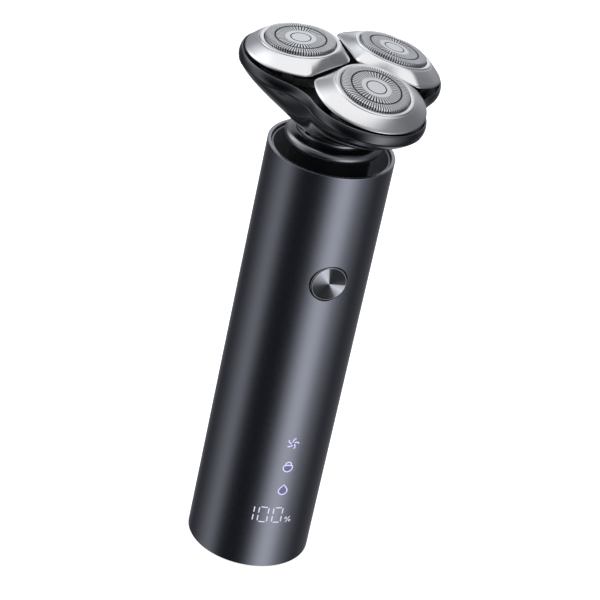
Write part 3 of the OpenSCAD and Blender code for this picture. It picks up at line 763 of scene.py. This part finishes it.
bowl = Shape()
steps = 28
lip = 0.25
outside = [lifted(bowl_ring(0, lip), bowl_z(0))]
outside += [lifted(bowl_ring(0, 0.07), bowl_z(0) - 0.08), lifted(bowl_ring(0, 0), bowl_z(0) - lip)]
outside += [lifted(bowl_ring(k / steps, 0), bowl_z(k / steps)) for k in range(1, steps)]
outside += [lifted(bowl_ring(1, 0.08), bowl_z(1) + 0.06), lifted(bowl_ring(1, 0.3), bowl_z(1))]
mouth = [onto_circle(p, BOWL_HOLE_R) for p in bowl_ring(1, 0)]
inner_floor = bowl_z(1) + BOWL_FLOOR
inside = [lifted(bowl_ring(k / steps, BOWL_WALL), bowl_z(k / steps) + 0.4) for k in range(steps - 4, 0, -1)]
inside.append(lifted(bowl_ring(0, BOWL_WALL), bowl_z(0)))
bowl.skin([*outside, lifted(mouth, bowl_z(1)), lifted(mouth, inner_floor), *inside], closed=True)
post_foot = bowl_z(1) + 1
for sign in (-1, 1):
    near = (-2.2, sign * BOWL_EAR_Y - 2.2, post_foot)
    far = (2.2, sign * BOWL_EAR_Y + 2.2, HEAD_Z - 16.7)
    bowl.add(block(near, far))
post_top = HEAD_Z + POST_TOP
post_profile = [(POST_BORE_R, post_foot), (POST_R, post_foot), (POST_R, post_top), (POST_BORE_R, post_top)]
for k in range(3):
    centre = polar(POST_PITCH, unit_angle(k) + math.radians(60))
    post = lathe(softened(post_profile, 0.1), 32)
    bowl.add(post.placed(Matrix.Translation((centre.x, centre.y, 0))))
bowl.placed(HEAD_LEAN)
bowl.build("bowl_shell", "head", [gloss_black], ["head_bowl"], "gloss_black")

rail_z = [HEAD_Z + RIM_BOTTOM, HEAD_Z + RIM_TOP]
rail_section = softened(
    [
        (0.15, rail_z[0]), (0, rail_z[0] + 0.9), (0, rail_z[1] - 1.5), (0.1, rail_z[1] - 0.8),
        (0.3, rail_z[1]), (RAIL_WALL, rail_z[1]), (RAIL_WALL, rail_z[0]),
    ],
    0.3,
    5,
)
rail = Shape().skin([lifted(trefoil(LOBE_R - inset, -inset), z) for inset, z in rail_section], closed=True)


def cut_plate(name, outline, holes, thickness, z):
    """A flat plate with round holes, its edges lightly rounded, as a shape."""
    curve = bpy.data.curves.new(name, "CURVE")
    curve.dimensions = "2D"
    curve.fill_mode = "BOTH"
    curve.extrude = (thickness / 2 - 0.1) * MM
    curve.bevel_depth = 0.1 * MM
    curve.bevel_resolution = 2
    for ring in (outline, *holes):
        spline = curve.splines.new("POLY")
        spline.points.add(len(ring) - 1)
        for point, p in zip(spline.points, ring):
            point.co = (p[0] * MM, p[1] * MM, 0, 1)
        spline.use_cyclic_u = True
    carrier = bpy.data.objects.new(name, curve)
    mesh = carrier.to_mesh()
    plate = Shape()
    plate.verts = [v.co / MM + Vector((0, 0, z)) for v in mesh.vertices]
    for polygon in mesh.polygons:
        plate.face(tuple(polygon.vertices))
    carrier.to_mesh_clear()
    bpy.data.objects.remove(carrier)
    bpy.data.curves.remove(curve)
    return plate


wall_faces = len(rail.slots)
well_pitch = CUTTER_R - 7 * math.tan(LEAN)
wells = [
    [p + polar(well_pitch, unit_angle(i)) for p in arc((0, 0), WELL_R, 0, 354, 59)] for i in range(3)
]
rail.add(cut_plate("rail_floor", trefoil(LOBE_R - 0.7, -0.7), wells, 1, rail_z[0] + 0.5))
tilt_pitch = CUTTER_R - 6.2 * math.sin(LEAN)
for i in range(3):
    for sign in (-1, 1):
        near = (tilt_pitch - 1.7, sign * LUG_Y - 0.9, rail_z[0])
        far = (tilt_pitch + 1.7, sign * LUG_Y + 0.9, rail_z[0] + 4.3)
        lug = block(near, far)
        rail.add(lug.placed(Matrix.Rotation(unit_angle(i), 4, "Z")))
rail.slots[wall_faces:] = [1] * (len(rail.slots) - wall_faces)
rail.placed(HEAD_LEAN)
rail.build("cutter_rail", "frame", [rail_black, deep_black], ["cutter_frame"], "gloss_black")


# ---- cutting units -----------------------------------------------------------------------------


def skirt_ring(z, f, inset):
    """A cover's outline at height z, a fraction f of the way out from the round lip to the sector."""
    return lifted([onto_circle(p, LIP_R - inset * 0.4).lerp(p, f) for p in sector(inset)], z)


def cover_shape():
    """Silver cover of one unit: raised round lip, sloping skirt, rolled lower edge."""
    shape = Shape()
    slope = SKIRT_TOP - SKIRT_EDGE
    skirt = [skirt_ring(SKIRT_TOP, 0, 0), skirt_ring(SKIRT_TOP - 0.12, 0.02, 0)]
    for k in range(1, 13):
        f = k / 13
        skirt.append(skirt_ring(SKIRT_TOP - slope * 0.87 * (0.75 * f + 0.25 * f**1.6), f, 0))
    roll = [(0.985, 0.885), (1.0, 0.93), (1.0, 0.965), (0.992, 0.99), (0.975, 1.0), (0.95, 1.0)]
    border = [skirt_ring(SKIRT_TOP - slope * drop, f, 0) for f, drop in roll]
    underside = [skirt_ring(SKIRT_EDGE, 0.985, 0.8), skirt_ring(SKIRT_EDGE + 0.35, 0.96, 0.8)]
    underside += [skirt_ring(SKIRT_TOP - 2.2, 0.3, 0.8), skirt_ring(SKIRT_TOP - 1.4, 0.0, 0.8)]
    shape.skin([*skirt, border[0]])
    # The rolled edge takes the polished lip material, whose lighter tone is a painted highlight.
    shape.skin(border, slot=1)
    shape.skin([border[-1], *underside])

    def level(r, z):
        return [(*onto_circle(p, r), z) for p in sector(0)]

    lip = [
        (LIP_R, SKIRT_TOP), (LIP_R - 0.05, SKIRT_TOP + 0.1), (LIP_R - 0.2, SKIRT_TOP + 0.19),
        (LIP_R - 0.4, SKIRT_TOP + 0.2), (CAP_R + 0.5, SKIRT_TOP + 0.2), (CAP_R + 0.32, SKIRT_TOP + 0.14),
        (CAP_R + 0.25, SKIRT_TOP), (CAP_R + 0.25, LIP_FOOT), (LIP_R - 0.35, LIP_FOOT),
        (LIP_R - 0.32, SKIRT_TOP - 1.4),
    ]
    # The round lip takes the polished lip material, whose lighter tone is a painted highlight.
    shape.skin([level(r, z) for r, z in lip], slot=1)
    return shape


def slotted_ring(shape, path, count, depth, share):
    """Radial slots in a turned surface; path runs along it as (radius, height), share is slot over pitch."""
    sunk = []
    for i, (r, z) in enumerate(path):
        before = Vector(path[max(i - 1, 0)])
        after = Vector(path[min(i + 1, len(path) - 1)])
        heading = (after - before).normalized()
        sunk.append((r + heading.y * depth, z - heading.x * depth))
    sunk[0] = (path[0][0], path[0][1] - depth)
    pitch = 2 * math.pi / count

    def line(points, angle):
        return [(r * math.cos(angle), r * math.sin(angle), z) for r, z in points]

    for k in range(count):
        land = pitch * k
        slot = land + pitch * (1 - share)
        end = land + pitch
        shape.skin([line(path, land), line(path, slot)], round_it=False)
        shape.skin([line(path, slot), line(sunk, slot)], round_it=False)
        # Slot floors take material 1, a near-black painted shade.
        shape.skin([line(sunk, slot), line(sunk, end)], slot=1, round_it=False)
        shape.skin([line(sunk, end), line(path, end)], round_it=False)
        for inner, outer in ((path[0], sunk[0]), (path[-1], sunk[-1])):
            shape.skin([line([inner, outer], slot), line([inner, outer], end)], round_it=False)


OUTER_SLOTS = 84
INNER_SLOTS = 46


def cap_shape():
    """Cutter cap: slotted outer and inner rings, turned grooves and a flat hub."""
    shape = Shape()
    hub = [(0, 0), (1.6, 0), (2.68, 0), (2.76, -0.14), (2.94, -0.14), (3.02, 0), (4.2, 0), (4.35, 0)]
    # Material 1 is near-black painted shade, used on the slot floors and in the hub and ring grooves;
    # material 2 is the hub.
    shape.skin([circle(r, z, INNER_SLOTS * 4) for r, z in hub[:3]], slot=2)
    shape.skin([circle(r, z, INNER_SLOTS * 4) for r, z in hub[2:6]], slot=1)
    shape.skin([circle(r, z, INNER_SLOTS * 4) for r, z in hub[5:]], slot=2)
    slotted_ring(shape, [(4.35, 0), (4.8, 0), (6.5, 0), (7.02, 0)], INNER_SLOTS, 0.5, 0.5)
    groove = [(7.02, 0), (7.1, -0.2), (7.36, -0.2), (7.44, 0), (7.5, 0)]
    shape.skin([circle(r, z) for r, z in groove], slot=1)
    slotted_ring(
        shape,
        [(7.5, 0), (8.6, 0), (CAP_R - 0.35, 0), (CAP_R - 0.1, -0.1), (CAP_R, -0.35), (CAP_R, -1.25)],
        OUTER_SLOTS, 0.42, 0.5,
    )
    flange_r = CAP_R + 0.7
    bore_r = CAP_R - 0.6
    side = [
        (CAP_R, -1.25), (CAP_R, -3), (flange_r, -3), (flange_r, -3.6), (bore_r, -3.6), (bore_r, -0.9),
        (0, -0.9),
    ]
    shape.skin([circle(r, z) for r, z in side])
    return shape


for i, side in enumerate(SIDES):
    cover = cover_shape().placed(at_unit(i))
    cover.build(
        f"silver_cover_{side}", f"unit_{side}", [silver, silver_lip_highlight], [f"unit_cover_{side}"], "satin_silver",
    )
    cap = cap_shape().placed(at_unit(i))
    cap.build(
        f"slotted_cap_{side}", f"cap_{side}", [cap_steel, slot_and_groove_shade, hub_steel], [f"cutter_cap_{side}"],
        "cutter_steel", crease=25,
    )


# ---- materials of the CAD parts that stay ---------------------------------------------------------

CAD_FINISH = {
    deep_black: ["base_cap", "button_guide", "charge_port_tongue", "display_module", "switch_body"]
    + [f"unit_base_{s}" for s in SIDES],
    mould_grey: ["chassis"],
    mould_white: ["drive_coupler", "gear_plate", "gear_cover", "centre_gear"]
    + [f"cutter_gear_{s}" for s in SIDES],
    mould_blue: [f"drive_post_{s}" for s in SIDES],
    mould_red: ["switch_plunger"],
    rubber: ["base_seal", "shaft_seal"],
    steel: ["base_screws", "charge_port_shell", "motor_can", "motor_screws", "motor_mount"]
    + ["gimbal_ring", "gimbal_pins", "gear_axles", "gear_screws", "centre_spindle"]
    + [f"post_spring_{s}" for s in SIDES],
    blade_steel: [f"inner_cutter_{s}" for s in SIDES],
    nickel: ["battery_contacts"],
    bronze: ["shaft_bush"],
    copper: ["motor_rotor"],
    sleeve: ["battery"],
    board: ["circuit_board"],
}
for material, names in CAD_FINISH.items():
    for name in names:
        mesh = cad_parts[name].data
        mesh.materials.clear()
        mesh.materials.append(material)


# ---- camera -----------------------------------------------------------------------------------------

AIM = Vector((-9.462, -22.021, 96.773)) * MM
DISTANCE = 767.47 * MM
AZIMUTH = math.radians(-24.507)
ELEVATION = math.radians(29.154)
ROLL = math.radians(12.402)

back = Vector((
    math.sin(AZIMUTH) * math.cos(ELEVATION),
    -math.cos(AZIMUTH) * math.cos(ELEVATION),
    math.sin(ELEVATION),
))
level_right = Vector((0, 0, 1)).cross(back).normalized()
level_up = back.cross(level_right)
right = level_right * math.cos(ROLL) + level_up * math.sin(ROLL)
up = back.cross(right)
lens = bpy.data.cameras.new("camera")
lens.lens = 162.963
lens.sensor_width = 36
camera = bpy.data.objects.new("camera", lens)
turn = Matrix((right, up, back)).transposed().to_4x4()
camera.matrix_world = Matrix.Translation(AIM + back * DISTANCE) @ turn
bpy.context.scene.collection.objects.link(camera)
bpy.context.scene.camera = camera


# ---- floor --------------------------------------------------------------------------------------------

floor_mesh = bpy.data.meshes.new("floor")
floor_half = 3
floor_mesh.from_pydata(
    [(x * floor_half, y * floor_half, 0) for x, y in ((-1, -1), (1, -1), (1, 1), (-1, 1))], [], [(0, 1, 2, 3)]
)
floor = bpy.data.objects.new("floor", floor_mesh)
bpy.context.scene.collection.objects.link(floor)
paper = bpy.data.materials.new("pale_paper")
paper.use_nodes = True
sheet = paper.node_tree.nodes["Principled BSDF"]
sheet.inputs["Base Color"].default_value = (0.9, 0.9, 0.9, 1)
sheet.inputs["Roughness"].default_value = 0.9
sheet.inputs["Specular IOR Level"].default_value = 0
sheet.inputs["Emission Color"].default_value = (1, 1, 1, 1)
sheet.inputs["Emission Strength"].default_value = 0.8
floor_mesh.materials.append(paper)
floor.visible_glossy = False
floor.visible_diffuse = False
floor.visible_shadow = False


# ---- studio light ---------------------------------------------------------------------------------------

world = bpy.data.worlds.new("studio")
bpy.context.scene.world = world
world.use_nodes = True
sky = world.node_tree
sky.nodes.clear()


def calc(operation, *values):
    return node(sky, "ShaderNodeMath", dict(enumerate(values)), operation=operation).outputs[0]


LIGHT_RANGE = 2.0


def ramp(value, stops):
    """Brightness over LIGHT_RANGE along value, 0 to 1, as smooth steps between (place, brightness) stops."""
    made = node(sky, "ShaderNodeValToRGB", {"Fac": value})
    made.color_ramp.interpolation = "B_SPLINE"
    shares = [(place, brightness / LIGHT_RANGE) for place, brightness in stops]
    set_stops(made, [(place, (share * 0.97, share, share * 1.04 + 0.004, 1)) for place, share in shares])
    return made.outputs["Color"]


def step_up(value, low, high):
    """0 below low and 1 above high, with a smooth step between."""
    limits = {"Value": value, "From Min": low, "From Max": high}
    return node(sky, "ShaderNodeMapRange", limits, interpolation_type="SMOOTHSTEP").outputs[0]


direction = node(sky, "ShaderNodeTexCoord").outputs["Generated"]
from_camera = {"Vector": direction, "Angle": -AZIMUTH}
facing = node(sky, "ShaderNodeVectorRotate", from_camera, rotation_type="Z_AXIS").outputs[0]
parts = node(sky, "ShaderNodeSeparateXYZ", {0: facing}).outputs
round_angle = calc("ARCTAN2", parts["X"], calc("MULTIPLY", parts["Y"], -1))
around = calc("ADD", calc("MULTIPLY", round_angle, 1 / (2 * math.pi)), 0.5)
elevation = calc("MULTIPLY", calc("ARCSINE", parts["Z"]), 180 / math.pi)


def turn_share(degrees):
    """Place on the round ramp of an angle right of the camera."""
    return degrees / 360 + 0.5


def round_ramp(stops):
    return ramp(around, [(turn_share(angle), brightness) for angle, brightness in stops])


# Softboxes round the object by angle right of the camera: a weak strip left, a broad one right, one behind.
LOW_LIGHTS = [
    (-180, 0.5), (-150, 0.06), (-118, 0.05), (-92, 0.29), (-72, 0.66), (-56, 0.14), (-42, 0.02), (-15, 0.02),
    (2, 0.05), (16, 0.4), (32, 1.32), (48, 1.38), (66, 0.45), (90, 0.15), (108, 0.04), (135, 0.14),
    (152, 0.12), (180, 0.5),
]
HIGH_LIGHTS = [
    (-180, 1.0), (-160, 0.5), (-142, 0.15), (-124, 0.8), (-108, 1.9), (-92, 1.2), (-60, 0.4), (-35, 0.12),
    (-5, 0.35), (30, 0.5), (50, 0.3), (85, 0.2), (110, 0.15), (143, 0.2), (163, 0.6), (180, 1.0),
]
low = round_ramp(LOW_LIGHTS)
high = round_ramp(HIGH_LIGHTS)
by_height = {"Factor": step_up(elevation, -12, 14), 6: low, 7: high}
height_mix = node(sky, "ShaderNodeMix", by_height, data_type="RGBA").outputs[2]
CEILING = (0.53, 0.53, 0.54, 1)
to_ceiling = {"Factor": step_up(elevation, 42, 62), 6: height_mix, 7: CEILING}
overhead = node(sky, "ShaderNodeMix", to_ceiling, data_type="RGBA")
lit_world = node(sky, "ShaderNodeBackground", {"Color": overhead.outputs[2], "Strength": LIGHT_RANGE})
white_world = node(sky, "ShaderNodeBackground", {"Color": (1, 1, 1, 1)})
seen = node(sky, "ShaderNodeLightPath").outputs["Is Camera Ray"]
split = node(sky, "ShaderNodeMixShader", {0: seen, 1: lit_world.outputs[0], 2: white_world.outputs[0]})
node(sky, "ShaderNodeOutputWorld", {"Surface": split.outputs[0]})

bpy.context.scene.view_settings.view_transform = "Standard"

bpy.context.view_layer.update()
